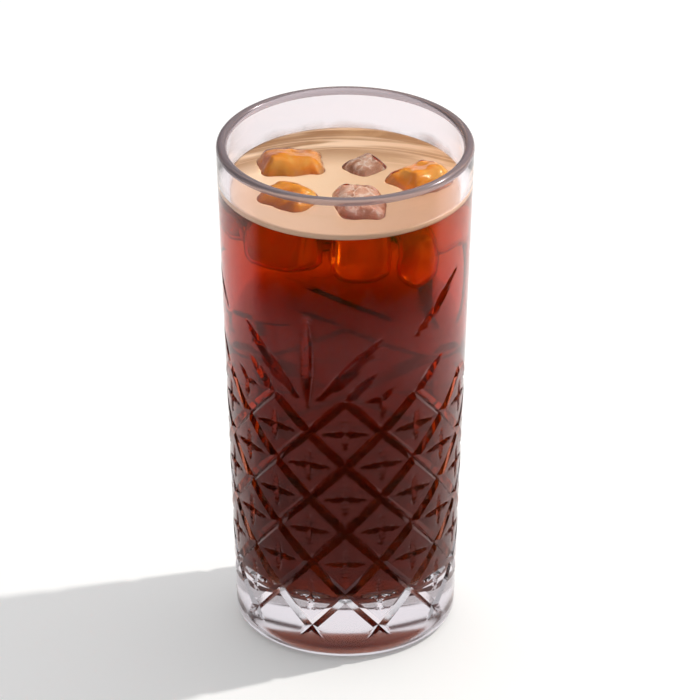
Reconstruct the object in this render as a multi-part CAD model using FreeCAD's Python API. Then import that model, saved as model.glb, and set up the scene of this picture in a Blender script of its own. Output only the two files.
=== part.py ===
"""Iced americano in a pressed highball tumbler: the glass, the coffee, its crema and the ice.

Millimetres, +Z up.  The origin is the centre of the foot, on the surface that the glass stands on.
The wall is pressed with a lattice of V grooves, a four-armed star in each diamond of the lattice,
and fans of leaf cuts above it.  Places on the wall are (column, row): a column is half a diamond
wide, column 0 faces -Y and columns rise towards +X, and a row is one diamond high, rising downwards.
The crema floats on the coffee, and the ice cubes that stand out of the drink are cut out of both.
"""

import FreeCAD
import Part

import math
import os

from FreeCAD import Rotation, Vector

# ---- Tumbler ----
HEIGHT = 160.0
RIM_RADIUS = 38.8  # outside, at the rim
FOOT_RADIUS = 33.2  # outside, where the wall's line meets the ground
RIM_WALL = 3.2
FLOOR_WALL = 4.6  # wall at the floor inside
FLOOR_THICKNESS = 17.0
FLOOR_CORNER = 6.0  # rounding inside, floor to wall
HEEL_ROUND = 4.0  # rounding outside, foot to wall
FOOT_RING = 7.0  # width of the flat ring that the glass stands on
PUNT_DEPTH = 1.6  # shallow hollow inside that ring

# ---- Lattice and stars ----
DIAMONDS_ROUND = 10
LATTICE_FOOT = 11.4  # height of the lowest crossings
ROW_PITCH = 22.8
LATTICE_ROWS = 3.5  # rows from the highest crossings to the lowest
RUN_OUT = 0.17  # rows by which a groove fades out below the lowest crossings
GROOVE_WIDTH = 2.7
GROOVE_DEPTH = 0.85
STAR_WIDTH = 15.0  # tip to tip
STAR_HEIGHT = 12.6
STAR_CUT_WIDTH = 2.0
STAR_CUT_DEPTH = 0.6

# ---- Fans above the lattice ----
FANS_ROUND = 2
FAN_COLUMN = -1  # column of the first fan's middle leaf
FAN_LEAF_WIDTH = 4.0
FAN_LEAF_DEPTH = 1.1
OUTER_LEAF_WIDTH = 3.0  # the single leaves outside the fan, and those that end the lattice's lines
OUTER_LEAF_DEPTH = 0.9
MIDDLE_LEAF = ((0.0, 0.15), (0.0, -1.25))  # from one (column, row) to another, from the fan's own column
# The rest of a fan, given for its +X side and mirrored to the other.
FAN_LEAVES = (
    ((0.15, 0.05), (2.0, -0.95)),
)
OUTER_LEAVES = (
    ((0.9, 0.05), (1.85, -0.42)),
    ((2.9, 0.05), (3.9, -0.42)),
    ((2.9, -0.85), (4.5, -1.6)),
)
SMALL_STAR = (2.0, 0.0)
SMALL_STAR_ARMS = ((-0.42, 0.0), (0.0, 0.27), (0.32, -0.16))

# ---- Drink ----
CREMA_BELOW_RIM = 12.8
CREMA_THICKNESS = 1.6

# ---- Ice ----
ICE_HEIGHT = 22.0
ICE_ROUND = 4.2
# Each cube that stands out of the drink: name, length, width, centre x and centre y as shares of
# the glass's inside radius at the crema, how far it stands out in mm, and turn, tilt and roll in
# degrees.
ICE_CUBES = (
    ("ice_back_left", 0.66, 0.48, -0.47, 0.30, 3.3, 8.0, 3.0, -5.0),
    ("ice_front_left", 0.56, 0.40, -0.49, -0.36, 2.9, -38.0, -4.0, 3.0),
    ("ice_front", 0.46, 0.62, 0.13, -0.46, 2.4, 7.0, 4.0, 2.0),
    ("ice_middle", 0.42, 0.40, 0.18, 0.22, 1.9, 40.0, -3.0, 3.0),
    ("ice_right", 0.52, 0.50, 0.64, 0.00, 4.0, 40.0, 4.0, -4.0),
)

# ---- Making ----
GROOVE_STEPS = 2  # straight lengths of groove from one crossing to the next
LEAF_STEPS = 5  # lengths in a leaf cut, from tip to tip
STAR_STEPS = 2
OVERSHOOT = 0.3  # how far lengths of groove run into each other
CLEAR = 1.0  # how far a cutter stands out of the wall

COLUMN_ANGLE = math.pi / DIAMONDS_ROUND
COLUMNS_ROUND = 2 * DIAMONDS_ROUND
FAN_SPACING = COLUMNS_ROUND // FANS_ROUND
CREMA_LEVEL = HEIGHT - CREMA_BELOW_RIM


def outer_radius(z):
    return FOOT_RADIUS + (RIM_RADIUS - FOOT_RADIUS) * z / HEIGHT


def inner_radius(z):
    at_floor = outer_radius(FLOOR_THICKNESS) - FLOOR_WALL
    at_rim = RIM_RADIUS - RIM_WALL
    share = (z - FLOOR_THICKNESS) / (HEIGHT - FLOOR_THICKNESS)
    return at_floor + (at_rim - at_floor) * share


def edges_at(shape, z, radius):
    """The round edges of a shape that lie at a height and have the given radius."""
    found = []
    for edge in shape.Edges:
        round_edge = isinstance(edge.Curve, Part.Circle)
        if round_edge and abs(edge.CenterOfMass.z - z) < 0.01 and abs(edge.Curve.Radius - radius) < 0.01:
            found.append(edge)
    return found


def bore():
    """The glass's inside, from its floor up past the rim, with the rounded corner at the floor."""
    top = HEIGHT + 2 * CLEAR
    low = inner_radius(FLOOR_THICKNESS)
    shape = Part.makeCone(low, inner_radius(top), top - FLOOR_THICKNESS, Vector(0, 0, FLOOR_THICKNESS))
    return shape.makeFillet(FLOOR_CORNER, edges_at(shape, FLOOR_THICKNESS, low))


def plain_tumbler():
    """The glass before its pattern: thick floor, rounded heel and rim, shallow punt underneath."""
    shape = Part.makeCone(FOOT_RADIUS, RIM_RADIUS, HEIGHT)
    shape = shape.makeFillet(HEEL_ROUND, edges_at(shape, 0, FOOT_RADIUS))
    shape = shape.cut(bore())
    rims = edges_at(shape, HEIGHT, RIM_RADIUS) + edges_at(shape, HEIGHT, RIM_RADIUS - RIM_WALL)
    shape = shape.makeFillet(0.48 * RIM_WALL, rims)
    punt_radius = FOOT_RADIUS - HEEL_ROUND - FOOT_RING
    sphere_radius = (punt_radius ** 2 + PUNT_DEPTH ** 2) / (2 * PUNT_DEPTH)
    return shape.cut(Part.makeSphere(sphere_radius, Vector(0, 0, PUNT_DEPTH - sphere_radius)))


def wall_point(column, row):
    """The point on the outer wall at a column and row, and the wall's outward direction there."""
    angle = column * COLUMN_ANGLE
    z = LATTICE_FOOT + ROW_PITCH * (LATTICE_ROWS - row)
    outward = Vector(math.sin(angle), -math.cos(angle), 0)
    return outward * outer_radius(z) + Vector(0, 0, z), outward


def between(start, end, share):
    return start[0] + (end[0] - start[0]) * share, start[1] + (end[1] - start[1]) * share


def triangle(a, b, c):
    return Part.Face(Part.makePolygon([a, b, c, a]))


def groove_length(start, end):
    """A straight V-shaped cutter from one place on the wall to another, equally deep throughout."""
    first, outward_first = wall_point(*start)
    last, outward_last = wall_point(*end)
    along = (last - first).normalize()
    across = along.cross(outward_first + outward_last).normalize()
    out = across.cross(along)
    half = GROOVE_WIDTH / 2 * (GROOVE_DEPTH + CLEAR) / GROOVE_DEPTH
    origin = first - along * OVERSHOOT
    keel = origin - out * GROOVE_DEPTH
    raised = origin + out * CLEAR
    section = triangle(keel, raised + across * half, raised - across * half)
    return section.extrude(along * ((last - first).Length + 2 * OVERSHOOT))


def leaf(start, end, width, depth, steps=LEAF_STEPS):
    """A cutter for a leaf-shaped cut: a V that widens and deepens from nothing at both tips."""
    stations = []
    for i in range(1, steps):
        share = i / steps
        swell = math.sin(math.pi * share)
        point, outward = wall_point(*between(start, end, share))
        before, _ = wall_point(*between(start, end, share - 0.01))
        across = (point - before).cross(outward).normalize()
        keel = point - outward * depth * swell
        half = width / 2 * (swell + CLEAR / depth)
        raised = point + outward * CLEAR
        stations.append((keel, raised + across * half, raised - across * half))
    tips = []
    for place, nearest in ((start, stations[0]), (end, stations[-1])):
        tips.append(nearest[0] + (wall_point(*place)[0] - nearest[0]) * 1.4)
    faces = []
    for tip, (keel, right, left) in zip(tips, (stations[0], stations[-1])):
        faces += [triangle(tip, keel, right), triangle(tip, left, keel), triangle(tip, right, left)]
    for one, two in zip(stations, stations[1:]):
        for a, b in ((0, 1), (1, 2), (2, 0)):
            faces += [triangle(one[a], one[b], two[b]), triangle(one[a], two[b], two[a])]
    solid = Part.makeSolid(Part.makeShell(faces))
    if solid.Volume < 0:
        solid.reverse()
    return solid


def lattice_cutters():
    """Grooves that lean both ways from each highest crossing down to the lowest, then fade out."""
    cutters = []
    lengths = int(2 * LATTICE_ROWS * GROOVE_STEPS)
    for top_column in range(0, COLUMNS_ROUND, 2):
        for lean in (-2, 2):
            places = [(top_column + lean * i / lengths * LATTICE_ROWS, i / lengths * LATTICE_ROWS)
                      for i in range(lengths + 1)]
            for start, end in zip(places, places[1:]):
                cutters.append(groove_length(start, end))
            fade = [(top_column + lean * row, row)
                    for row in (LATTICE_ROWS - RUN_OUT, LATTICE_ROWS + RUN_OUT)]
            cutters.append(leaf(*fade, GROOVE_WIDTH, GROOVE_DEPTH, 4))
    return cutters


def star_cutters():
    """Two crossed leaf cuts in every diamond of the lattice."""
    middle_height = LATTICE_FOOT + ROW_PITCH * LATTICE_ROWS / 2
    across = STAR_WIDTH / 2 / (COLUMN_ANGLE * outer_radius(middle_height))
    up = STAR_HEIGHT / 2 / ROW_PITCH
    cutters = []
    for column in range(COLUMNS_ROUND):
        row = 1.0 if column % 2 else 0.5
        while row < LATTICE_ROWS:
            for side, rise in ((across, 0), (0, up)):
                ends = (column - side, row - rise), (column + side, row + rise)
                cutters.append(leaf(*ends, STAR_CUT_WIDTH, STAR_CUT_DEPTH, STAR_STEPS))
            row += 1
    return cutters


def fan_cutters():
    """Each fan's three leaves, the leaves beside it and the small three-armed stars among them."""
    cutters = []
    for fan in range(FANS_ROUND):
        middle = FAN_COLUMN + fan * FAN_SPACING
        start, end = [(middle + column, row) for column, row in MIDDLE_LEAF]
        cutters.append(leaf(start, end, FAN_LEAF_WIDTH, FAN_LEAF_DEPTH))
        for side in (-1, 1):
            for leaves, width, depth in (
                (FAN_LEAVES, FAN_LEAF_WIDTH, FAN_LEAF_DEPTH),
                (OUTER_LEAVES, OUTER_LEAF_WIDTH, OUTER_LEAF_DEPTH),
            ):
                for ends in leaves:
                    start, end = [(middle + side * column, row) for column, row in ends]
                    cutters.append(leaf(start, end, width, depth))
            column, row = SMALL_STAR
            for reach, rise in SMALL_STAR_ARMS:
                root = (middle + side * (column - 0.2 * reach), row - 0.2 * rise)
                tip = (middle + side * (column + reach), row + rise)
                cutters.append(leaf(root, tip, STAR_CUT_WIDTH, STAR_CUT_DEPTH, STAR_STEPS))
    return cutters


def ice_cubes():
    """The rounded cubes that stand out of the drink, by name."""
    span = inner_radius(CREMA_LEVEL)
    cubes = {}
    for name, length, width, x, y, proud, turn, tilt, roll in ICE_CUBES:
        size = (length * span, width * span, ICE_HEIGHT)
        cube = Part.makeBox(*size, Vector(-size[0] / 2, -size[1] / 2, -size[2]))
        cube = cube.makeFillet(ICE_ROUND, cube.Edges)
        cube.Placement = FreeCAD.Placement(Vector(), Rotation(turn, tilt, roll))
        top = cube.BoundBox.ZMax
        cube.translate(Vector(x * span, y * span, CREMA_LEVEL + proud - top))
        cubes[name] = cube
    return cubes


def drink(inside, ice, bottom, top):
    """What fills the glass between two heights, cut round the ice."""
    slab = Part.makeCylinder(RIM_RADIUS, top - bottom, Vector(0, 0, bottom))
    return inside.common(slab).cut(ice)


def build():
    inside = bore()
    ice = ice_cubes()
    cubes = list(ice.values())
    crema_bottom = CREMA_LEVEL - CREMA_THICKNESS
    pieces = {
        "tumbler": plain_tumbler().cut(lattice_cutters() + star_cutters() + fan_cutters()),
        "coffee": drink(inside, cubes, FLOOR_THICKNESS, crema_bottom),
        "crema": drink(inside, cubes, crema_bottom, CREMA_LEVEL),
    }
    pieces.update(ice)
    return pieces


os.makedirs("parts", exist_ok=True)
for node, shape in build().items():
    solids = shape.Solids
    if len(solids) != 1:
        raise ValueError(node + " is not one solid")
    solids[0].exportStep("parts/" + node + ".step")
    print(node, "volume", round(solids[0].Volume), "mm3")
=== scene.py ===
import math

import bmesh
import bpy
from mathutils import Matrix, Vector


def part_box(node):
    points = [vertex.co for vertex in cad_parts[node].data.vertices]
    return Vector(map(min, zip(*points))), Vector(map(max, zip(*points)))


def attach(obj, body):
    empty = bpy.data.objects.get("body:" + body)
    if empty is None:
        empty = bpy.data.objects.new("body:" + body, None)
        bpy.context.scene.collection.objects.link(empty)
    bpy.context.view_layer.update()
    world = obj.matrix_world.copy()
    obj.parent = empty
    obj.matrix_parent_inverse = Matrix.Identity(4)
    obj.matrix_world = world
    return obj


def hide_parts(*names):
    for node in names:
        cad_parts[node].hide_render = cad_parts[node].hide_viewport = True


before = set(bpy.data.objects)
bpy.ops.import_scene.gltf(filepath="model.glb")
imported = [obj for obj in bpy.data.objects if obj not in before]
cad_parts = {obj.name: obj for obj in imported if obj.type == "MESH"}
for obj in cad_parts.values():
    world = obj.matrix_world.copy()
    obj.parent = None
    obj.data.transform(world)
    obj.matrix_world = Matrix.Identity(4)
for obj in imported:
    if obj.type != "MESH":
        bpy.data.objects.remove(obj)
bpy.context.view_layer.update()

# ---- Studio ----
# A white sweep in a plain pale room, under one small warm lamp that stands high on the right and a
# little behind the glass.  The lamp is there twice, and the last section shares out what each lights.
scene = bpy.context.scene
scene.view_settings.view_transform = "Standard"
scene.cycles.max_bounces = 32
scene.cycles.transmission_bounces = 32
scene.cycles.transparent_max_bounces = 16

MM = 0.001
camera_data = bpy.data.cameras.new("camera")
camera = bpy.data.objects.new("camera", camera_data)
scene.collection.objects.link(camera)
scene.camera = camera
camera_data.sensor_width = 36
camera_data.lens = 428
camera_data.clip_end = 10
camera.location = (0.0014, -2.225, 1.274)
camera.rotation_euler = (math.radians(61.97), 0, 0)


def link_object(name, mesh):
    piece = bpy.data.objects.new(name, mesh)
    scene.collection.objects.link(piece)
    return piece


def lamp(name, place, aim, size, power, colour):
    data = bpy.data.lights.new(name, "AREA")
    data.shape = "DISK"
    data.size = size
    data.energy = power
    data.color = colour
    light = link_object(name, data)
    light.location = place
    light.rotation_euler = (Vector(aim) - Vector(place)).to_track_quat("-Z", "Y").to_euler()
    return light


KEY = {
    "place": (0.903, 0.311, 1.005),
    "aim": (0, 0, 0.05),
    "size": 0.05,
    "power": 13,
    "colour": (1.0, 0.97, 0.92),
}
open_key = lamp("key_on_sweep", **KEY)
drink_key = lamp("key_on_drink", **KEY)


def disc_object(name, inner, outer, z):
    """A flat ring, or a disc where its inner radius is 0."""
    steps = 96
    places = []
    for i in range(steps):
        angle = 2 * math.pi * i / steps
        places += [(r * math.cos(angle), r * math.sin(angle), z) for r in (inner, outer)]
    count = 2 * steps
    faces = [(2 * i, 2 * i + 1, (2 * i + 3) % count, (2 * i + 2) % count) for i in range(steps)]
    mesh = bpy.data.meshes.new(name)
    mesh.from_pydata(places, [], faces)
    shape = bmesh.new()
    shape.from_mesh(mesh)
    bmesh.ops.remove_doubles(shape, verts=shape.verts, dist=1e-6)
    shape.to_mesh(mesh)
    shape.free()
    return link_object(name, mesh)


NEAR_SWEEP = 0.24
FAR_SWEEP = 4
floor = disc_object("floor", 0, NEAR_SWEEP, 0)
far_floor = disc_object("far_floor", NEAR_SWEEP, FAR_SWEEP, 0)


class Value:
    """A number in a node tree, so that a rule can be written as a sum."""

    def __init__(self, tree, socket):
        self.tree = tree
        self.socket = socket

    def math(self, operation, *others):
        node = self.tree.nodes.new("ShaderNodeMath")
        node.operation = operation
        for entry, value in zip(node.inputs, (self,) + others):
            if isinstance(value, Value):
                self.tree.links.new(value.socket, entry)
            else:
                entry.default_value = value
        return Value(self.tree, node.outputs[0])

    def __add__(self, other):
        return self.math("ADD", other)

    def __sub__(self, other):
        return self.math("SUBTRACT", other)

    def __mul__(self, other):
        return self.math("MULTIPLY", other)

    def __truediv__(self, other):
        return self.math("DIVIDE", other)

    def __rsub__(self, other):
        return (self * -1) + other

    __radd__ = __add__
    __rmul__ = __mul__

    def most(self, other):
        return self.math("MAXIMUM", other)

    def least(self, other):
        return self.math("MINIMUM", other)

    def sine(self):
        return self.math("SINE")

    def cosine(self):
        return self.math("COSINE")

    def size(self):
        return self.math("ABSOLUTE")

    def root(self):
        return self.math("SQRT")

    def ramp(self, low, high):
        """0 below low, 1 above high, and smooth between them."""
        node = self.tree.nodes.new("ShaderNodeMapRange")
        node.interpolation_type = "SMOOTHSTEP"
        self.tree.links.new(self.socket, node.inputs[0])
        for entry, value in zip(node.inputs[1:5], (low, high, 0, 1)):
            if isinstance(value, Value):
                self.tree.links.new(value.socket, entry)
            else:
                entry.default_value = value
        return Value(self.tree, node.outputs[0])


def new_material(name):
    material = bpy.data.materials.new(name)
    material.use_nodes = True
    tree = material.node_tree
    return material, tree, tree.nodes["Principled BSDF"]


def node(tree, kind, **settings):
    made = tree.nodes.new(kind)
    for key, value in settings.items():
        setattr(made, key, value)
    return made


def seen_by(tree):
    """1 for what is seen, straight or by way of glass, and the parts of it that glass sends."""
    path = node(tree, "ShaderNodeLightPath")
    straight = Value(tree, path.outputs["Is Camera Ray"])
    through = Value(tree, path.outputs["Is Transmission Ray"])
    mirrored = Value(tree, path.outputs["Is Glossy Ray"])
    return straight.most(through).most(mirrored), through, mirrored


# The sweep is lit by the lamp and the room.  What is seen of it is lifted to white where no shadow
# falls, and its mirror image fades out with the distance in front of the glass.
SWEEP_TONE = 0.8
LIFT = 0.2
FADE_FROM = 0.205
FADE_TO = 0.245
FRONT_FROM = -0.02
FRONT_TO = 0.06
white, tree, shader = new_material("white_sweep")
shader.inputs["Roughness"].default_value = 0.9
shader.inputs["Specular IOR Level"].default_value = 0.1
shader.inputs["Emission Color"].default_value = (1, 1, 1, 1)
seen, through, mirrored = seen_by(tree)
split = node(tree, "ShaderNodeSeparateXYZ")
tree.links.new(node(tree, "ShaderNodeTexCoord").outputs["Object"], split.inputs[0])
x, y, z = (Value(tree, out) for out in split.outputs)
away = (x * x + y * y).root().ramp(FADE_FROM, FADE_TO)
in_front = (y * -1).ramp(FRONT_FROM, FRONT_TO)
fade = away * in_front * (mirrored * (1 - through))
tone = node(tree, "ShaderNodeCombineColor")
for entry in tone.inputs:
    tree.links.new((SWEEP_TONE * (1 - fade)).socket, entry)
tree.links.new(tone.outputs[0], shader.inputs["Base Color"])
tree.links.new((seen * (1 - fade) * LIFT).socket, shader.inputs["Emission Strength"])
floor.data.materials.append(white)
far_floor.data.materials.append(white)

world = bpy.data.worlds.new("room")
scene.world = world
world.use_nodes = True
tree = world.node_tree
back = tree.nodes["Background"]
place = node(tree, "ShaderNodeTexCoord")
split = node(tree, "ShaderNodeSeparateXYZ")
tree.links.new(place.outputs["Generated"], split.inputs[0])
across, deep, up = (Value(tree, out) for out in split.outputs)
room = 0.35 + deep.ramp(-0.6, 0.7) * 0.65  # brighter behind the glass than in front of it
strength = room + seen_by(tree)[0] * (1 - room)
back.inputs["Color"].default_value = (1, 1, 1, 1)
tree.links.new(strength.socket, back.inputs["Strength"])

# A dark wall stands far round the sweep.  Only reflections see it: it draws the cuts in the glass.
WALL_RADIUS = 2.9
WALL_FOOT = -1.8
WALL_TOP = 3.4
WALL_STEPS = 48
wall_places = []
wall_faces = []
for i in range(WALL_STEPS):
    angle = 2 * math.pi * i / WALL_STEPS
    wall_places.append((WALL_RADIUS * math.cos(angle), WALL_RADIUS * math.sin(angle), WALL_FOOT))
    wall_places.append((WALL_RADIUS * math.cos(angle), WALL_RADIUS * math.sin(angle), WALL_TOP))
    j = (i + 1) % WALL_STEPS
    wall_faces.append((2 * i, 2 * j, 2 * j + 1, 2 * i + 1))
wall_mesh = bpy.data.meshes.new("dark_wall")
wall_mesh.from_pydata(wall_places, [], wall_faces)
wall = link_object("dark_wall", wall_mesh)
wall.visible_camera = False
wall.visible_diffuse = False
wall.visible_transmission = False
wall.visible_shadow = False
black, tree, shader = new_material("dark_wall")
shader.inputs["Base Color"].default_value = (0.01, 0.01, 0.01, 1)
shader.inputs["Roughness"].default_value = 1
shader.inputs["Specular IOR Level"].default_value = 0
path = node(tree, "ShaderNodeLightPath")
clear = node(tree, "ShaderNodeBsdfTransparent")
choice = node(tree, "ShaderNodeMixShader")
tree.links.new(path.outputs["Is Transmission Ray"], choice.inputs[0])
tree.links.new(shader.outputs[0], choice.inputs[1])
tree.links.new(clear.outputs[0], choice.inputs[2])
tree.links.new(choice.outputs[0], tree.nodes["Material Output"].inputs["Surface"])
wall_mesh.materials.append(black)

# ---- Tumbler ----
# A tall tumbler of clear pressed glass, thick at the foot.  Its mould cuts a lattice of V grooves
# round the lower wall, a four-armed star in every diamond, and two fans of leaf cuts above.
low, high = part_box("tumbler")
HEIGHT = high.z
RIM_RADIUS = 38.8 * MM
FOOT_RADIUS = 33.2 * MM
RIM_WALL = 3.2 * MM
FLOOR = 17 * MM
FLOOR_WALL = 4.6 * MM
FLOOR_CORNER = 6 * MM
HEEL = 4 * MM
FOOT_RING = 7 * MM
PUNT = 1.6 * MM
DIAMONDS = 10
LATTICE_TOP = 91.2 * MM
PITCH = 22.8 * MM
LATTICE_ROWS = 3.5
RUN_OUT = 0.17
GROOVE_WIDTH = 3.2 * MM
GROOVE_DEPTH = 1.2 * MM
STAR_WIDTH = 15.0 * MM
STAR_HEIGHT = 12.6 * MM
STAR_CUT_WIDTH = 2.3 * MM
STAR_CUT_DEPTH = 0.8 * MM
LEAF_DEEPER = 1.3  # how much deeper the leaves are cut than their list says
RIM_BAND = 2.6 * MM  # how far down from the top the rim's darker glass goes, painted shade
WET_SIDE = 2.2 * MM  # what lies further in than this from the outer wall is the bore
BAND_TOP = -2.0  # rows between which the wall is meshed along its pattern
BAND_FOOT = 4.0
CELL_STEPS = 24  # mesh steps across one diamond
# A fan's leaves: from one (column, row) to another, width and depth in mm.  Columns count from the
# fan's middle leaf, and both sides of a fan are alike.
FAN_COLUMN = -1.0
FAN_LEAVES = (
    ((0.0, 0.15), (0.0, -1.25), 4.0, 1.1),
    ((0.15, 0.05), (2.0, -0.95), 4.0, 1.1),
    ((0.9, 0.05), (1.85, -0.42), 3.0, 0.9),
    ((2.9, 0.05), (3.9, -0.42), 3.0, 0.9),
    ((2.9, -0.85), (4.5, -1.6), 3.0, 0.9),
    ((2.08, 0.0), (1.58, 0.0), 2.0, 0.6),
    ((2.0, -0.05), (2.0, 0.27), 2.0, 0.6),
    ((1.94, 0.03), (2.32, -0.16), 2.0, 0.6),
)
COLUMN = math.pi * (FOOT_RADIUS + RIM_RADIUS) / 2 / DIAMONDS  # width of half a diamond
CELL = 1 / math.hypot(0.5 / COLUMN, 1 / PITCH)  # from groove to groove
BUNCH = 3 / CELL_STEPS - GROOVE_WIDTH / 2 / CELL  # how far mesh lines are drawn to the grooves


def outer_radius(z):
    return FOOT_RADIUS + (RIM_RADIUS - FOOT_RADIUS) * z / HEIGHT


def inner_radius(z):
    share = (z - FLOOR) / (HEIGHT - FLOOR)
    at_floor = outer_radius(FLOOR) - FLOOR_WALL
    return at_floor + (RIM_RADIUS - RIM_WALL - at_floor) * share


def arc(centre, radius, start, stop, steps):
    """Points of an arc from one angle to another, in degrees."""
    angles = [math.radians(start + (stop - start) * i / steps) for i in range(steps + 1)]
    return [(centre[0] + radius * math.cos(a), centre[1] + radius * math.sin(a)) for a in angles]


def run(start, end, steps):
    """Points of a straight line, without its last one."""
    return [(start[0] + (end[0] - start[0]) * i / steps, start[1] + (end[1] - start[1]) * i / steps)
            for i in range(steps)]


def profile_object(name, points):
    mesh = bpy.data.meshes.new(name)
    edges = [(i, i + 1) for i in range(len(points) - 1)]
    mesh.from_pydata([(r, 0, z) for r, z in points], edges, [])
    return link_object(name, mesh)


band_top_z = LATTICE_TOP - BAND_TOP * PITCH
rim_round = RIM_WALL / 2
rim_z = HEIGHT - rim_round
corner_z = FLOOR + FLOOR_CORNER
corner_r = inner_radius(corner_z)
BROW = 0.3 * MM
brow_z = rim_z - BROW  # a line close under the rim's rounding keeps the wall's shading straight
inside = run((outer_radius(band_top_z), band_top_z), (outer_radius(brow_z), brow_z), 8)
inside += run((outer_radius(brow_z), brow_z), (outer_radius(rim_z), rim_z), 1)
inside += arc((outer_radius(rim_z) - rim_round, rim_z), rim_round, 0, 180, 14)
inside += run((inner_radius(brow_z), brow_z), (corner_r, corner_z), 24)
inside += arc((corner_r - FLOOR_CORNER, corner_z), FLOOR_CORNER, 0, -90, 10)
inside += run((corner_r - FLOOR_CORNER, FLOOR), (0, FLOOR), 6)[1:] + [(0, FLOOR)]
inside_profile = profile_object("inside_profile", inside)

heel_r = outer_radius(HEEL) - HEEL
punt_r = heel_r - FOOT_RING
dome = (punt_r ** 2 + PUNT ** 2) / (2 * PUNT)
spread = math.degrees(math.asin(punt_r / dome))
underside = run((heel_r, 0), (punt_r, 0), 3) + arc((0, PUNT - dome), dome, 90 - spread, 90, 10)
underside_profile = profile_object("underside_profile", underside)


def new_tree(name, inputs, output):
    """A Geometry Nodes tree with named inputs (label, kind, value) and one output."""
    tree = bpy.data.node_groups.new(name, "GeometryNodeTree")
    tree.interface.new_socket(output[0], in_out="OUTPUT", socket_type="NodeSocket" + output[1])
    for label, kind, value in inputs:
        socket = tree.interface.new_socket(label, in_out="INPUT", socket_type="NodeSocket" + kind)
        if value is not None:
            socket.default_value = value
    return tree, tree.nodes.new("NodeGroupInput").outputs, tree.nodes.new("NodeGroupOutput").inputs[0]


def placed(tree, geometry, radius, angle, z):
    """Moves points to a radius, an angle round the glass from its front, and a height."""
    point = node(tree, "ShaderNodeCombineXYZ")
    for entry, value in zip(point.inputs, (radius * angle.sine(), radius * angle.cosine() * -1, z)):
        tree.links.new(value.socket, entry)
    mover = node(tree, "GeometryNodeSetPosition")
    tree.links.new(geometry, mover.inputs["Geometry"])
    tree.links.new(point.outputs[0], mover.inputs["Position"])
    return mover.outputs[0]


def grid_of(tree, across, deep):
    """A flat grid of squares one unit wide, and its points' places counted from one corner."""
    grid = node(tree, "GeometryNodeMeshGrid")
    for label, value in (("Size X", across), ("Size Y", deep)):
        grid.inputs[label].default_value = value
    for label, value in (("Vertices X", across), ("Vertices Y", deep)):
        grid.inputs[label].default_value = value + 1
    split = node(tree, "ShaderNodeSeparateXYZ")
    tree.links.new(node(tree, "GeometryNodeInputPosition").outputs[0], split.inputs[0])
    x = Value(tree, split.outputs[0]) + across / 2
    y = Value(tree, split.outputs[1]) + deep / 2
    return grid.outputs[0], x, y


def bunched(steps):
    """Where a mesh line lies, in diamonds, with the lines drawn to the grooves and the stars."""
    even = steps / CELL_STEPS
    return even - BUNCH * (even * (4 * math.pi)).sine()


def turned_tree(name, profile):
    """A profile turned once round the glass, with its mesh lines in step with the pressed band."""
    count = len(profile.data.vertices) - 1
    tree, source, sink = new_tree(name, [("Profile", "Object", None)], ("Mesh", "Geometry"))
    geometry, step, index = grid_of(tree, DIAMONDS * CELL_STEPS, count)
    info = node(tree, "GeometryNodeObjectInfo")
    tree.links.new(source[0], info.inputs["Object"])
    sample = node(tree, "GeometryNodeSampleIndex", data_type="FLOAT_VECTOR", domain="POINT")
    tree.links.new(info.outputs["Geometry"], sample.inputs["Geometry"])
    tree.links.new(node(tree, "GeometryNodeInputPosition").outputs[0], sample.inputs["Value"])
    tree.links.new(index.math("ROUND").socket, sample.inputs["Index"])
    split = node(tree, "ShaderNodeSeparateXYZ")
    tree.links.new(sample.outputs[0], split.inputs[0])
    angle = bunched(step) * (2 * math.pi / DIAMONDS)
    radius, z = Value(tree, split.outputs[0]), Value(tree, split.outputs[2])
    tree.links.new(placed(tree, geometry, radius, angle, z), sink)
    return tree


def leaf_tree():
    """How deep a leaf cut is at a place on the wall: a V that swells between two tips."""
    labels = ("Across", "Down", "Tip Across", "Tip Down", "End Across", "End Down", "Width", "Depth")
    inputs = [(label, "Float", None) for label in labels]
    tree, source, sink = new_tree("leaf_cut", inputs, ("Cut", "Float"))
    x, y, x0, y0, x1, y1, width, depth = (Value(tree, source[label]) for label in labels)
    length = ((x1 - x0) * (x1 - x0) + (y1 - y0) * (y1 - y0)).root()
    along = ((x - x0) * (x1 - x0) + (y - y0) * (y1 - y0)) / (length * length)
    aside = (((x - x0) * (y1 - y0) - (y - y0) * (x1 - x0)) / length).size()
    swell = 4 * along * (1 - along)
    tree.links.new((depth * (swell - aside / (width * 0.5))).socket, sink)
    return tree


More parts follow.
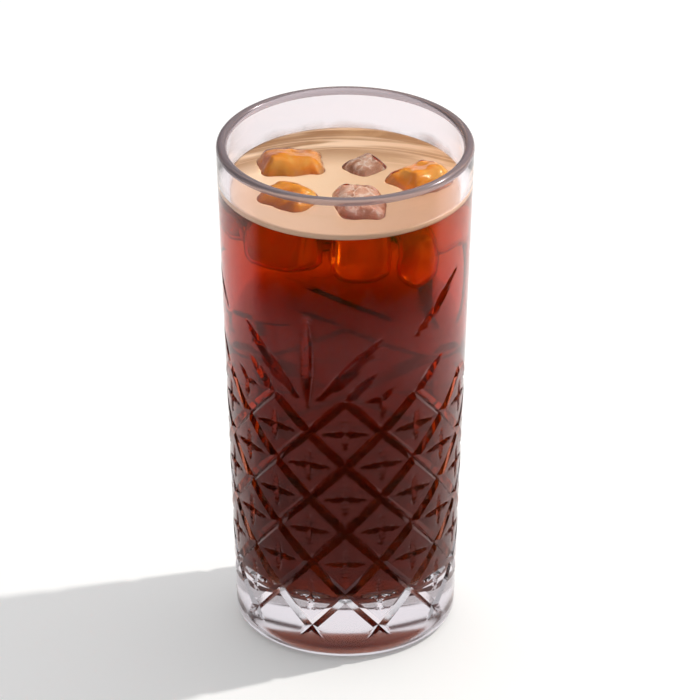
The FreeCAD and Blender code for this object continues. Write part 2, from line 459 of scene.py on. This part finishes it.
def pressed_tree():
    """The tumbler: a band meshed along its pattern, and turned surfaces above, inside and below."""
    tree, source, sink = new_tree("pressed_tumbler", [
        ("Groove Width", "Float", GROOVE_WIDTH), ("Groove Depth", "Float", GROOVE_DEPTH),
        ("Star Cut Width", "Float", STAR_CUT_WIDTH), ("Star Cut Depth", "Float", STAR_CUT_DEPTH),
        ("Inside", "Object", None), ("Underside", "Object", None), ("Material", "Material", None),
        ("Wet Inside", "Material", None), ("Wet Line", "Float", WET_LINE),
        ("Rim", "Material", None), ("Rim Line", "Float", HEIGHT - RIM_BAND),
    ], ("Mesh", "Geometry"))
    groove_width, groove_depth, star_width, star_depth = (Value(tree, entry) for entry in source[:4])

    # The band's mesh lines follow the grooves: a counts those that lean one way, b the others.
    cells = int(DIAMONDS + BAND_FOOT - BAND_TOP)
    geometry, across, deep = grid_of(tree, cells * CELL_STEPS, cells * CELL_STEPS)
    a = bunched(across) + BAND_TOP
    b = bunched(deep) - BAND_FOOT
    column = a + b
    row = (a - b) * 0.5

    # Squares on the upright line through a diamond's middle are halved along it, the rest across.
    even_column = (across + deep) / CELL_STEPS
    upright = (even_column - even_column.math("ROUND")).size().math("LESS_THAN", 0.25 / CELL_STEPS)
    for method, chosen in (("FIXED_ALTERNATE", upright), ("FIXED", 1 - upright)):
        halve = node(tree, "GeometryNodeTriangulate", quad_method=method)
        tree.links.new(geometry, halve.inputs["Mesh"])
        tree.links.new(chosen.socket, halve.inputs["Selection"])
        geometry = halve.outputs[0]
    beyond = (row - BAND_TOP).least(BAND_FOOT - row).least(column).least(2 * DIAMONDS - column)
    trim = node(tree, "GeometryNodeDeleteGeometry", domain="FACE")
    tree.links.new(geometry, trim.inputs["Geometry"])
    tree.links.new(beyond.math("LESS_THAN", 0).socket, trim.inputs["Selection"])

    fade = ((row + 0.03) / 0.06).least((LATTICE_ROWS + RUN_OUT - row) / RUN_OUT).least(1)
    relief = 0 * row
    for line in (a, b):
        aside = (line - line.math("ROUND")).size() * CELL
        relief = relief.most(groove_depth * (fade - aside / (groove_width * 0.5)))
    from_a = a - a.math("FLOOR") - 0.5
    from_b = b - b.math("FLOOR") - 0.5
    star_x = (from_a + from_b) * COLUMN
    star_y = (from_a - from_b) * (PITCH / 2)
    star_row = row - (from_a - from_b) * 0.5
    in_lattice = star_row.math("GREATER_THAN", 0.3) * star_row.math("LESS_THAN", LATTICE_ROWS - 0.3)
    for along, aside, reach in ((star_x, star_y, STAR_WIDTH / 2), (star_y, star_x, STAR_HEIGHT / 2)):
        swell = 1 - (along / reach) * (along / reach)
        relief = relief.most(star_depth * in_lattice * (swell - aside.size() / (star_width * 0.5)))
    fan_gap = DIAMONDS  # in columns, as the two fans stand opposite each other
    from_fan = (column - FAN_COLUMN).math("WRAP", fan_gap / 2, -fan_gap / 2).size() * COLUMN
    cut_group = leaf_tree()
    for tip, end, width, depth in FAN_LEAVES:
        cut = node(tree, "GeometryNodeGroup", node_tree=cut_group)
        tree.links.new(from_fan.socket, cut.inputs["Across"])
        tree.links.new((row * PITCH).socket, cut.inputs["Down"])
        ends = (tip[0] * COLUMN, tip[1] * PITCH, end[0] * COLUMN, end[1] * PITCH)
        settings = ends + (width * MM, depth * LEAF_DEEPER * MM)
        for entry, value in zip(list(cut.inputs)[2:], settings):
            entry.default_value = value
        relief = relief.most(Value(tree, cut.outputs[0]))

    level = LATTICE_TOP - row * PITCH
    tuck = ((HEEL - level) / HEEL).most(0) * (math.pi / 2)
    line_z = level.most(HEEL)
    radius = line_z * ((RIM_RADIUS - FOOT_RADIUS) / HEIGHT) + FOOT_RADIUS
    radius = radius - HEEL * (1 - tuck.cosine()) - relief
    angle = column * (math.pi / DIAMONDS)
    pieces = [placed(tree, trim.outputs[0], radius, angle, line_z - HEEL * tuck.sine())]
    for entry, profile in ((source["Inside"], inside_profile), (source["Underside"], underside_profile)):
        turned = node(tree, "GeometryNodeGroup", node_tree=turned_tree("turned_" + profile.name, profile))
        tree.links.new(entry, turned.inputs[0])
        pieces.append(turned.outputs[0])

    join = node(tree, "GeometryNodeJoinGeometry")
    for piece in pieces:
        tree.links.new(piece, join.inputs[0])
    weld = node(tree, "GeometryNodeMergeByDistance")
    weld.inputs["Distance"].default_value = 0.004 * MM
    smooth = node(tree, "GeometryNodeSetShadeSmooth")
    crisp = node(tree, "GeometryNodeSetShadeSmooth", domain="EDGE")
    crisp.inputs["Shade Smooth"].default_value = False
    fold = Value(tree, node(tree, "GeometryNodeInputMeshEdgeAngle").outputs[0])
    tree.links.new(fold.math("GREATER_THAN", math.radians(15)).socket, crisp.inputs["Selection"])
    realize = node(tree, "GeometryNodeRealizeInstances")
    paint = node(tree, "GeometryNodeSetMaterial")
    tree.links.new(join.outputs[0], weld.inputs[0])
    tree.links.new(weld.outputs[0], smooth.inputs[0])
    tree.links.new(smooth.outputs[0], crisp.inputs[0])
    tree.links.new(crisp.outputs[0], realize.inputs[0])
    tree.links.new(realize.outputs[0], paint.inputs["Geometry"])
    tree.links.new(source["Material"], paint.inputs["Material"])
    # The wall that the drink wets mirrors nothing, and the rim has a darker, partly diffuse grey-mauve
    # glass: painted shade for what the rim reflects and refracts.
    split = node(tree, "ShaderNodeSeparateXYZ")
    tree.links.new(node(tree, "GeometryNodeInputPosition").outputs[0], split.inputs[0])
    x, y, z = (Value(tree, out) for out in split.outputs)
    bore = z * ((RIM_RADIUS - FOOT_RADIUS) / HEIGHT) + (FOOT_RADIUS - WET_SIDE)
    wet = (x * x + y * y).root().math("LESS_THAN", bore)
    wet = wet * z.math("LESS_THAN", Value(tree, source["Wet Line"]))
    wet = wet * z.math("GREATER_THAN", FLOOR - 0.1 * MM)
    wetted = node(tree, "GeometryNodeSetMaterial")
    tree.links.new(paint.outputs[0], wetted.inputs["Geometry"])
    tree.links.new(wet.socket, wetted.inputs["Selection"])
    tree.links.new(source["Wet Inside"], wetted.inputs["Material"])
    rimmed = node(tree, "GeometryNodeSetMaterial")
    tree.links.new(wetted.outputs[0], rimmed.inputs["Geometry"])
    at_rim = z.math("GREATER_THAN", Value(tree, source["Rim Line"]))
    tree.links.new(at_rim.socket, rimmed.inputs["Selection"])
    tree.links.new(source["Rim"], rimmed.inputs["Material"])
    tree.links.new(rimmed.outputs[0], sink)
    return tree


def face_outwards(mesh):
    shape = bmesh.new()
    shape.from_mesh(mesh)
    bmesh.ops.recalc_face_normals(shape, faces=shape.faces)
    shape.to_mesh(mesh)
    shape.free()


def grown(name, tree, host=None, **values):
    """The plain mesh that a Geometry Nodes tree makes, as an object with its faces outwards."""
    host = host or link_object(name, bpy.data.meshes.new(name))
    modifier = host.modifiers.new("shape", "NODES")
    modifier.node_group = tree
    for item in tree.interface.items_tree:
        key = item.name.replace(" ", "_").lower()
        if item.in_out == "INPUT" and key in values:
            modifier[item.identifier] = values[key]
    made = bpy.data.meshes.new_from_object(host.evaluated_get(bpy.context.evaluated_depsgraph_get()))
    host.modifiers.clear()
    host.data = made
    face_outwards(made)
    return host


CREMA_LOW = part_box("crema")[0].z
CREMA_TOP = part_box("crema")[1].z
WET_LINE = CREMA_TOP


def mixed(tree, share, low, high):
    """A colour between two, by a value from 0 to 1."""
    blend = node(tree, "ShaderNodeMix", data_type="RGBA")
    tree.links.new(share.socket, blend.inputs[0])
    for entry, colour in ((blend.inputs[6], low), (blend.inputs[7], high)):
        if isinstance(colour, tuple):
            entry.default_value = colour
        else:
            tree.links.new(colour, entry)
    return blend.outputs[2]


def object_place(tree):
    """Object coordinates, whole and as three values."""
    place = node(tree, "ShaderNodeTexCoord").outputs["Object"]
    split = node(tree, "ShaderNodeSeparateXYZ")
    tree.links.new(place, split.inputs[0])
    return [place] + [Value(tree, out) for out in split.outputs]


def glass_material(name, mirror_tint, clearness=1.0, tint=(0.85, 0.77, 0.80, 1), rough=0.0):
    """Clear glass, faintly mauve, darker and rougher toward the foot; the darker foot is painted shade of
    the floor under the glass.
    """
    material, tree, shader = new_material(name)
    place, x, y, z = object_place(tree)
    # Toward the foot the tint darkens as painted shade, and the glass grows rougher.
    foot_shade_and_roughness = 1 - z.ramp(6 * MM, 24 * MM)
    tree.links.new(mixed(tree, foot_shade_and_roughness, tint, (0.80, 0.74, 0.79, 1)), shader.inputs["Base Color"])
    tree.links.new((foot_shade_and_roughness * 0.10 + rough).socket, shader.inputs["Roughness"])
    shader.inputs["IOR"].default_value = 1.5
    shader.inputs["Specular Tint"].default_value = mirror_tint
    shader.inputs["Transmission Weight"].default_value = clearness
    return material


glass = glass_material("pressed_glass", (1.0, 0.28, 0.26, 1))

# The rim's glass is darker grey-mauve and partly diffuse: painted shade.
tumbler = grown("pressed_glass", pressed_tree(), inside=inside_profile, underside=underside_profile,
                material=glass, wet_inside=glass_material("wet_glass", (0, 0, 0, 1), 1.0, (1, 0.99, 1, 1)),
                rim=glass_material("rim_glass", (0.6, 0.5, 0.55, 1), 0.55, (0.45, 0.375, 0.41, 1), 0.2))
for profile in (inside_profile, underside_profile):
    bpy.data.objects.remove(profile)
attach(tumbler, "root")
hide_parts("tumbler")

# ---- Ice ----
# Home-frozen cubes that have begun to melt: clear, amber with coffee, with rounded corners and a
# rippled skin.  Five stand out of the drink and four lie under it.
ICE_NODES = ("ice_back_left", "ice_front_left", "ice_front", "ice_middle", "ice_right")
WATER_LINE = 145.5 * MM
CRACKED_ICE = ("melting_ice_front", "melting_ice_middle")

clear_ice, tree, shader = new_material("clear_ice")
place, x, y, z = object_place(tree)
tree.links.new(mixed(tree, z.ramp(WATER_LINE - 3 * MM, WATER_LINE + 1.5 * MM), (0.98, 0.55, 0.14, 1),
                     (1.0, 0.93, 0.80, 1)), shader.inputs["Base Color"])
shader.inputs["Roughness"].default_value = 0.03
shader.inputs["IOR"].default_value = 1.33
shader.inputs["Specular Tint"].default_value = (0.35, 0.35, 0.35, 1)
shader.inputs["Transmission Weight"].default_value = 0.97


def heart_material(name, foamed, dark, clear, pale, blob, cracks):
    """The inside of a cube: amber as painted glow, standing for light that comes through thin coffee, and
    pale where it is cloudy or cracked.
    """
    material, tree, shader = new_material(name)
    place, x, y, z = object_place(tree)
    wander = node(tree, "ShaderNodeTexNoise")
    wander.inputs["Scale"].default_value = blob
    wander.inputs["Detail"].default_value = 2
    wander.inputs["Distortion"].default_value = 1.5
    tree.links.new(place, wander.inputs["Vector"])
    cloud = Value(tree, wander.outputs[0])
    tone = mixed(tree, cloud.ramp(0.28, 0.52), dark, clear)
    crack = node(tree, "ShaderNodeTexVoronoi", feature="DISTANCE_TO_EDGE")
    crack.inputs["Scale"].default_value = 190
    bent = node(tree, "ShaderNodeMix", data_type="VECTOR")
    bent.inputs[0].default_value = 0.012
    tree.links.new(place, bent.inputs[4])
    tree.links.new(wander.outputs["Color"], bent.inputs[5])
    tree.links.new(bent.outputs[1], crack.inputs["Vector"])
    share = cloud.ramp(0.50, 0.80).most((1 - Value(tree, crack.outputs[0]).ramp(0.0, 0.10)) * cracks)
    bare = (z + (cloud - 0.5) * 8 * MM).ramp(CREMA_TOP - 0.5 * MM, CREMA_TOP + 1.5 * MM)
    tint = mixed(tree, bare, foamed, mixed(tree, share, tone, pale))
    # Under the water line the heart turns deep orange: painted glow of the coffee round the sunken ice.
    tree.links.new(mixed(tree, z.ramp(WATER_LINE - 6 * MM, WATER_LINE), (0.95, 0.38, 0.05, 1), tint),
                   shader.inputs["Base Color"])
    shader.inputs["Roughness"].default_value = 0.25
    shader.inputs["IOR"].default_value = 1.31
    shader.inputs["Transmission Weight"].default_value = 0.55
    return material


amber_heart = heart_material("amber_heart", (0.62, 0.30, 0.10, 1), (0.50, 0.115, 0.004, 1),
                             (1.0, 0.40, 0.01, 1), (1.0, 0.62, 0.12, 1), 75, 0.0)
cracked_heart = heart_material("cracked_heart", (0.50, 0.24, 0.15, 1), (0.40, 0.17, 0.10, 1),
                               (0.78, 0.50, 0.40, 1), (1.0, 0.92, 0.88, 1), 120, 0.9)


def melt_tree():
    """What melting leaves of a cube: taller crowns above the drink, soft lumps and fine ripples."""
    tree, source, sink = new_tree("melted_skin", [
        ("Cube", "Geometry", None), ("Lump", "Float", 2.2 * MM), ("Ripple", "Float", 0.45 * MM),
        ("Crown", "Float", 0.35), ("Taper", "Float", 45.0), ("Seed", "Float", 0.0),
        ("Material", "Material", None)], ("Mesh", "Geometry"))
    split = node(tree, "ShaderNodeSeparateXYZ")
    tree.links.new(node(tree, "GeometryNodeInputPosition").outputs[0], split.inputs[0])
    height = Value(tree, split.outputs[2])
    above = (height - WATER_LINE).most(0)
    box = node(tree, "GeometryNodeBoundBox")
    tree.links.new(source["Cube"], box.inputs[0])
    middle = node(tree, "ShaderNodeMix", data_type="VECTOR")
    tree.links.new(box.outputs["Min"], middle.inputs[4])
    tree.links.new(box.outputs["Max"], middle.inputs[5])
    centre = node(tree, "ShaderNodeSeparateXYZ")
    tree.links.new(middle.outputs[1], centre.inputs[0])
    inward = above * Value(tree, source["Taper"]) * -1
    rise = node(tree, "ShaderNodeCombineXYZ")
    for axis in (0, 1):
        reach = Value(tree, split.outputs[axis]) - Value(tree, centre.outputs[axis])
        tree.links.new((reach * inward).socket, rise.inputs[axis])
    tree.links.new((above * Value(tree, source["Crown"])).socket, rise.inputs[2])
    lift = node(tree, "GeometryNodeSetPosition")
    tree.links.new(source["Cube"], lift.inputs["Geometry"])
    tree.links.new(rise.outputs[0], lift.inputs["Offset"])
    geometry = lift.outputs[0]
    for label, scale, level in (("Lump", 85.0, 0.56), ("Ripple", 260.0, 0.5)):
        noise = node(tree, "ShaderNodeTexNoise", noise_dimensions="4D")
        noise.inputs["Detail"].default_value = 1
        noise.inputs["Scale"].default_value = scale
        tree.links.new(source["Seed"], noise.inputs["W"])
        depth = (Value(tree, noise.outputs[0]) - level) * Value(tree, source[label]) * 2
        push = node(tree, "ShaderNodeVectorMath", operation="SCALE")
        tree.links.new(node(tree, "GeometryNodeInputNormal").outputs[0], push.inputs[0])
        tree.links.new(depth.socket, push.inputs["Scale"])
        mover = node(tree, "GeometryNodeSetPosition")
        tree.links.new(geometry, mover.inputs["Geometry"])
        tree.links.new(push.outputs[0], mover.inputs["Offset"])
        geometry = mover.outputs[0]
    smooth = node(tree, "GeometryNodeSetShadeSmooth")
    realize = node(tree, "GeometryNodeRealizeInstances")
    paint = node(tree, "GeometryNodeSetMaterial")
    tree.links.new(geometry, smooth.inputs[0])
    tree.links.new(smooth.outputs[0], realize.inputs[0])
    tree.links.new(realize.outputs[0], paint.inputs["Geometry"])
    tree.links.new(source["Material"], paint.inputs["Material"])
    tree.links.new(paint.outputs[0], sink)
    return tree


melt = melt_tree()


def melted_cube(name, mesh, seed, material):
    """A cube of ice from a plain one: its mesh made even, softened and melted."""
    shape = bmesh.new()
    shape.from_mesh(mesh)
    bmesh.ops.remove_doubles(shape, verts=shape.verts, dist=0.01 * MM)
    shape.to_mesh(mesh)
    shape.free()
    cube = link_object(name, mesh)
    remesh = cube.modifiers.new("even", "REMESH")
    remesh.mode = "VOXEL"
    remesh.voxel_size = 0.6 * MM
    soften = cube.modifiers.new("soften", "SMOOTH")
    soften.iterations = 8
    return grown(name, melt, host=cube, seed=seed, material=material)


def plain_cube(centre, size, turn, tilt):
    """The mesh of a cube with rounded corners."""
    shape = bmesh.new()
    bmesh.ops.create_cube(shape, size=1)
    place = Matrix.Translation(Vector(centre) * MM) @ Matrix.Rotation(math.radians(turn), 4, "Z")
    place = place @ Matrix.Rotation(math.radians(tilt), 4, "X") @ Matrix.Diagonal((*(Vector(size) * MM), 1))
    bmesh.ops.transform(shape, matrix=place, verts=shape.verts)
    bmesh.ops.bevel(shape, geom=shape.edges, offset=3.2 * MM, segments=4, profile=0.5, affect="EDGES")
    mesh = bpy.data.meshes.new("cube")
    shape.to_mesh(mesh)
    shape.free()
    return mesh


def shrunk(piece, depth, name):
    """A copy of a piece, a little smaller all round."""
    mesh = piece.data.copy()
    shape = bmesh.new()
    shape.from_mesh(mesh)
    shape.normal_update()
    for vertex in shape.verts:
        vertex.co -= vertex.normal * depth
    shape.to_mesh(mesh)
    shape.free()
    return link_object(name, mesh)


ICE_SKIN = 1.1 * MM
ice = []
hearts = []
for number, name in enumerate(ICE_NODES):
    cube = melted_cube("melting_" + name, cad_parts[name].data.copy(), 3.7 * number, clear_ice)
    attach(cube, "root")
    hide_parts(name)
    ice.append(cube)
# Cubes under the crema: centre, size, turn and tilt.
SUNKEN_ICE = (
    ((19.5, -19.3, 133), (10.5, 11, 17), 45, 6),
    ((2.0, 26.0, 131), (15, 9, 20), 3, -5),
    ((21.0, 19.5, 133), (10.5, 10.5, 18), 45, 5),
    ((-19.0, 24.0, 131), (11, 8, 17), 38, -4),
)
for number, (centre, size, turn, tilt) in enumerate(SUNKEN_ICE):
    name = "sunken_ice_%d" % (number + 1)
    cube = melted_cube(name, plain_cube(centre, size, turn, tilt), 31 + 2.3 * number, clear_ice)
    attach(cube, "root")
    ice.append(cube)
for cube in ice:
    heart = shrunk(cube, ICE_SKIN, "heart_of_" + cube.name)
    heart.data.materials.clear()
    heart.data.materials.append(cracked_heart if cube.name in CRACKED_ICE else amber_heart)
    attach(heart, "root")
    hearts.append(heart)


def cut_round(piece, cutters):
    """Cuts the cutters out of a piece for good."""
    for cutter in cutters:
        modifier = piece.modifiers.new("hollow", "BOOLEAN")
        modifier.operation = "DIFFERENCE"
        modifier.solver = "MANIFOLD"
        modifier.object = cutter
    made = bpy.data.meshes.new_from_object(piece.evaluated_get(bpy.context.evaluated_depsgraph_get()))
    piece.modifiers.clear()
    piece.data = made
    return piece


ICE_SEAT = 0.15 * MM  # how far the ice reaches into the drink round it
hollows = [shrunk(cube, ICE_SEAT, cube.name + "_hollow") for cube in ice]

# ---- Coffee ----
# Black coffee that fills the glass to the crema, clear but so dark that only its thin places glow
# orange.  It reaches a hair into the glass and the crema, so that no air shows between them.
REACH = 0.12 * MM


def turned(name, points, steps=192):
    """A closed solid from a profile (radius, height) that starts and ends on the axis."""
    rings = points[1:-1]
    places = [(0, 0, points[0][1])]
    for radius, z in rings:
        for i in range(steps):
            angle = 2 * math.pi * i / steps
            places.append((radius * math.cos(angle), radius * math.sin(angle), z))
    places.append((0, 0, points[-1][1]))
    faces = []
    for i in range(steps):
        j = (i + 1) % steps
        faces.append((0, 1 + j, 1 + i))
        for ring in range(len(rings) - 1):
            base = 1 + ring * steps
            faces.append((base + i, base + j, base + steps + j, base + steps + i))
        base = 1 + (len(rings) - 1) * steps
        faces.append((base + i, base + j, len(places) - 1))
    mesh = bpy.data.meshes.new(name)
    mesh.from_pydata(places, [], faces)
    mesh.shade_smooth()
    face_outwards(mesh)
    return link_object(name, mesh)


coffee_material, tree, shader = new_material("black_coffee")
place, x, y, z = object_place(tree)
# The melt water above thins it: its colour by height in mm, out of the glass's whole height.
TONE_SPAN = 160
COFFEE_TONES = (
    (20, (0.24, 0.06, 0.02, 1)),
    (45, (0.42, 0.09, 0.02, 1)),
    (79, (0.58, 0.10, 0.02, 1)),
    (100, (0.90, 0.10, 0.02, 1)),
    (118, (0.88, 0.14, 0.01, 1)),
    (128, (1.0, 0.26, 0.01, 1)),
    (140, (1.0, 0.45, 0.03, 1)),
)
ramp = node(tree, "ShaderNodeValToRGB")
while len(ramp.color_ramp.elements) < len(COFFEE_TONES):
    ramp.color_ramp.elements.new(0.5)
for element, (height, tone) in zip(ramp.color_ramp.elements, COFFEE_TONES):
    element.position = height / TONE_SPAN
    element.color = tone
tree.links.new((z / (TONE_SPAN * MM)).socket, ramp.inputs[0])
tree.links.new(ramp.outputs[0], shader.inputs["Base Color"])
shader.inputs["Roughness"].default_value = 0.0
shader.inputs["IOR"].default_value = 1.34
shader.inputs["Specular Tint"].default_value = (0, 0, 0, 1)
shader.inputs["Transmission Weight"].default_value = 0.95
absorb = node(tree, "ShaderNodeVolumeAbsorption")
absorb.inputs["Color"].default_value = (0.86, 0.55, 0.0, 1)
absorb.inputs["Density"].default_value = 95
tree.links.new(absorb.outputs[0], tree.nodes["Material Output"].inputs["Volume"])

coffee_top = CREMA_LOW + REACH
floor_r = corner_r - FLOOR_CORNER
profile = run((0, FLOOR - REACH), (floor_r, FLOOR - REACH), 4)
profile += arc((floor_r, corner_z), FLOOR_CORNER + REACH, -90, 0, 10)
profile += run((corner_r + REACH, corner_z), (inner_radius(coffee_top) + REACH, coffee_top), 16)[1:]
profile += run((inner_radius(coffee_top) + REACH, coffee_top), (0, coffee_top), 8) + [(0, coffee_top)]
coffee = turned("black_coffee", profile)
coffee.data.materials.append(coffee_material)
cut_round(coffee, hollows)
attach(coffee, "root")
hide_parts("coffee")

# Under the melt water lies the strong coffee, a darker volume with a nearly flat top and round
# shoulders.  It has no surface of its own, and its outline keeps clear of the wall and the floor.
HILL_TOP = 120 * MM
HILL_CURVE = 0.12  # the smaller, the flatter the top
HILL_STEPS = 32
strong_material, tree, shader = new_material("strong_coffee")
shader.inputs["Base Color"].default_value = (0.1, 0.02, 0.005, 1)
shader.inputs["Alpha"].default_value = 0
absorb = node(tree, "ShaderNodeVolumeAbsorption")
absorb.inputs["Color"].default_value = (0.45, 0.12, 0.05, 1)
absorb.inputs["Density"].default_value = 65
tree.links.new(absorb.outputs[0], tree.nodes["Material Output"].inputs["Volume"])
inset = 0.4 * MM
profile = run((0, FLOOR + inset), (floor_r, FLOOR + inset), 4)
profile += arc((floor_r, corner_z), FLOOR_CORNER - inset, -90, 0, 10)
for i in range(HILL_STEPS):
    share = i / HILL_STEPS
    z = corner_z + (HILL_TOP - corner_z) * share
    profile.append(((corner_r - inset) * (1 - share) ** HILL_CURVE, z))
profile.append((0, HILL_TOP))
strong = turned("strong_coffee", profile, 96)
strong.data.materials.append(strong_material)
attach(strong, "root")

# ---- Crema ----
# A thin layer of fine tan foam on the coffee, marbled with brown at the back.


def foam_group():
    """Crema's colour and grain: tan foam with painted shade toward the right, marbled brown toward the
    back, with fine bubbles.
    """
    group = bpy.data.node_groups.new("foam", "ShaderNodeTree")
    group.interface.new_socket("Place", in_out="INPUT", socket_type="NodeSocketVector")
    group.interface.new_socket("Marbling", in_out="INPUT", socket_type="NodeSocketFloat")
    group.interface.new_socket("Color", in_out="OUTPUT", socket_type="NodeSocketColor")
    group.interface.new_socket("Height", in_out="OUTPUT", socket_type="NodeSocketFloat")
    source = group.nodes.new("NodeGroupInput").outputs
    sink = group.nodes.new("NodeGroupOutput").inputs
    split = node(group, "ShaderNodeSeparateXYZ")
    group.links.new(source[0], split.inputs[0])
    x, y, z = (Value(group, out) for out in split.outputs)
    # The marbling runs across, bent round the glass.
    bend = node(group, "ShaderNodeCombineXYZ")
    for entry, value in zip(bend.inputs, (x * 22, (y + x * x * 9) * 210, z * 40)):
        group.links.new(value.socket, entry)
    swirl = node(group, "ShaderNodeTexNoise")
    swirl.inputs["Scale"].default_value = 1
    swirl.inputs["Detail"].default_value = 4
    swirl.inputs["Distortion"].default_value = 0.8
    group.links.new(bend.outputs[0], swirl.inputs["Vector"])
    back = (y + x * x * 9).ramp(6 * MM, 24 * MM)
    streak = Value(group, swirl.outputs[0]).ramp(0.36, 0.60) * back * Value(group, source[1])
    # The foam is tan, painted browner toward the right: painted shade for the shadow that the glass's wall
    # casts there.
    tan_and_painted_shade = mixed(group, x.ramp(-34 * MM, 34 * MM) * 0.75, (0.97, 0.70, 0.48, 1), (0.60, 0.33, 0.17, 1))
    tint = mixed(group, streak, tan_and_painted_shade, (0.36, 0.16, 0.045, 1))
    mottle = node(group, "ShaderNodeTexNoise")
    mottle.inputs["Scale"].default_value = 160
    mottle.inputs["Detail"].default_value = 5
    group.links.new(source[0], mottle.inputs["Vector"])
    dull = Value(group, mottle.outputs[0]).ramp(0.45, 0.75) * 0.25
    tint = mixed(group, dull, tint, (0.80, 0.48, 0.24, 1))
    bubbles = node(group, "ShaderNodeTexVoronoi")
    bubbles.inputs["Scale"].default_value = 1400
    group.links.new(source[0], bubbles.inputs["Vector"])
    group.links.new(tint, sink[0])
    group.links.new((Value(group, bubbles.outputs[0]) + Value(group, mottle.outputs[0])).socket, sink[1])
    return group


foam = foam_group()


def foam_material(name):
    material, tree, shader = new_material(name)
    place = object_place(tree)[0]
    look = node(tree, "ShaderNodeGroup", node_tree=foam)
    look.inputs["Marbling"].default_value = 1
    bump = node(tree, "ShaderNodeBump")
    bump.inputs["Distance"].default_value = 0.15 * MM
    bump.inputs["Strength"].default_value = 0.12
    tree.links.new(place, look.inputs["Place"])
    tree.links.new(look.outputs["Color"], shader.inputs["Base Color"])
    tree.links.new(look.outputs["Height"], bump.inputs["Height"])
    tree.links.new(bump.outputs[0], shader.inputs["Normal"])
    shader.inputs["Roughness"].default_value = 0.3
    return material, tree, shader, place, look


crema_material = foam_material("crema")[0]
rim_r = inner_radius(CREMA_TOP) + REACH
profile = run((0, CREMA_LOW), (rim_r, CREMA_LOW), 24) + run((rim_r, CREMA_LOW), (rim_r, CREMA_TOP), 3)
profile += run((rim_r, CREMA_TOP), (0, CREMA_TOP), 40) + [(0, CREMA_TOP)]
crema = turned("crema_layer", profile)
crema.data.materials.append(crema_material)
cut_round(crema, hollows[:len(ICE_NODES)])
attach(crema, "root")
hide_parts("crema")

for hollow in hollows:
    bpy.data.objects.remove(hollow)

# ---- Crema film ----
# Crema that clings to the inner wall at the back of the glass, where the drink has swashed.  It is
# less than 0.1 mm thick and so sparse that the wall shows through it.


def ring_shell(name, points, steps=192):
    """A closed ring from a profile (radius, height) that goes round a section."""
    count = len(points)
    places = []
    for i in range(steps):
        angle = 2 * math.pi * i / steps
        places += [(radius * math.cos(angle), radius * math.sin(angle), z) for radius, z in points]
    faces = []
    for i in range(steps):
        for j in range(count):
            a, b = i * count, (i + 1) % steps * count
            k = (j + 1) % count
            faces.append((a + j, b + j, b + k, a + k))
    mesh = bpy.data.meshes.new(name)
    mesh.from_pydata(places, [], faces)
    mesh.shade_smooth()
    face_outwards(mesh)
    return link_object(name, mesh)


FILM_RISE = 6.5 * MM
FILM_NEAR = 0.02 * MM  # the film's outer and inner face, from the bore's wall
FILM_FAR = 0.1 * MM
FILM_COVER = 0.3
film_material, tree, shader, place, look = foam_material("crema_film")
x, y, z = object_place(tree)[1:]
smear = node(tree, "ShaderNodeTexNoise")
smear.inputs["Scale"].default_value = 70
smear.inputs["Detail"].default_value = 5
tree.links.new(place, smear.inputs["Vector"])
reach = Value(tree, smear.outputs[0]) * 9 * MM + (CREMA_TOP - 1.5 * MM)
cover = ((reach - z) / (5 * MM)).ramp(0, 1) * (y + x.size() * 0.35).ramp(-4 * MM, 16 * MM)
tree.links.new((cover * FILM_COVER).socket, shader.inputs["Alpha"])
low, high = CREMA_TOP - 0.1 * MM, CREMA_TOP + FILM_RISE
film = ring_shell("crema_film", [
    (inner_radius(low) - FILM_NEAR, low), (inner_radius(high) - FILM_NEAR, high),
    (inner_radius(high) - FILM_FAR, high), (inner_radius(low) - FILM_FAR, low)])
film.data.materials.append(film_material)
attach(film, "root")

# ---- Mist ----
# The cold glass has misted over in faint patches, round the upper half of its outside.  The mist is
# a shell less than 0.1 mm thick.
MIST_LOW, MIST_HIGH = 84 * MM, 136 * MM
MIST_NEAR = 0.02 * MM  # the mist's inner and outer face, from the outer wall
MIST_FAR = 0.08 * MM
MIST_COVER = 0.005
mist_material, tree, shader = new_material("mist")
place, x, y, z = object_place(tree)
run_down = node(tree, "ShaderNodeMapping")
run_down.inputs["Scale"].default_value = (1, 1, 0.45)
tree.links.new(place, run_down.inputs[0])
patch = node(tree, "ShaderNodeTexNoise")
patch.inputs["Scale"].default_value = 75
patch.inputs["Detail"].default_value = 6
patch.inputs["Roughness"].default_value = 0.6
tree.links.new(run_down.outputs[0], patch.inputs["Vector"])
ends = z.ramp(MIST_LOW, MIST_LOW + 14 * MM) * (1 - z.ramp(MIST_HIGH - 16 * MM, MIST_HIGH))
cover = (Value(tree, patch.outputs[0]) + ends * 0.16).ramp(0.60, 0.66)
tree.links.new((cover * ends.ramp(0, 0.3) * MIST_COVER).socket, shader.inputs["Alpha"])
shader.inputs["Base Color"].default_value = (0.85, 0.72, 0.76, 1)
shader.inputs["Roughness"].default_value = 0.6
mist = ring_shell("mist", [
    (outer_radius(MIST_LOW) + MIST_NEAR, MIST_LOW), (outer_radius(MIST_LOW) + MIST_FAR, MIST_LOW),
    (outer_radius(MIST_HIGH) + MIST_FAR, MIST_HIGH), (outer_radius(MIST_HIGH) + MIST_NEAR, MIST_HIGH)])
mist.data.materials.append(mist_material)
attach(mist, "root")

# ---- Light sharing ----
# One of the two key lamps lights the sweep and the glass.  The other lights the drink, where only
# the crema's layer casts its shadow: the clear wall casts none.
drink = bpy.data.collections.new("drink")
others = bpy.data.collections.new("others")
lid = bpy.data.collections.new("lid")
lid.objects.link(crema)
for piece in [coffee, crema, film] + ice + hearts:
    drink.objects.link(piece)
for piece in (tumbler, floor, far_floor, mist):
    others.objects.link(piece)
drink_key.light_linking.receiver_collection = drink
drink_key.light_linking.blocker_collection = lid
open_key.light_linking.receiver_collection = others
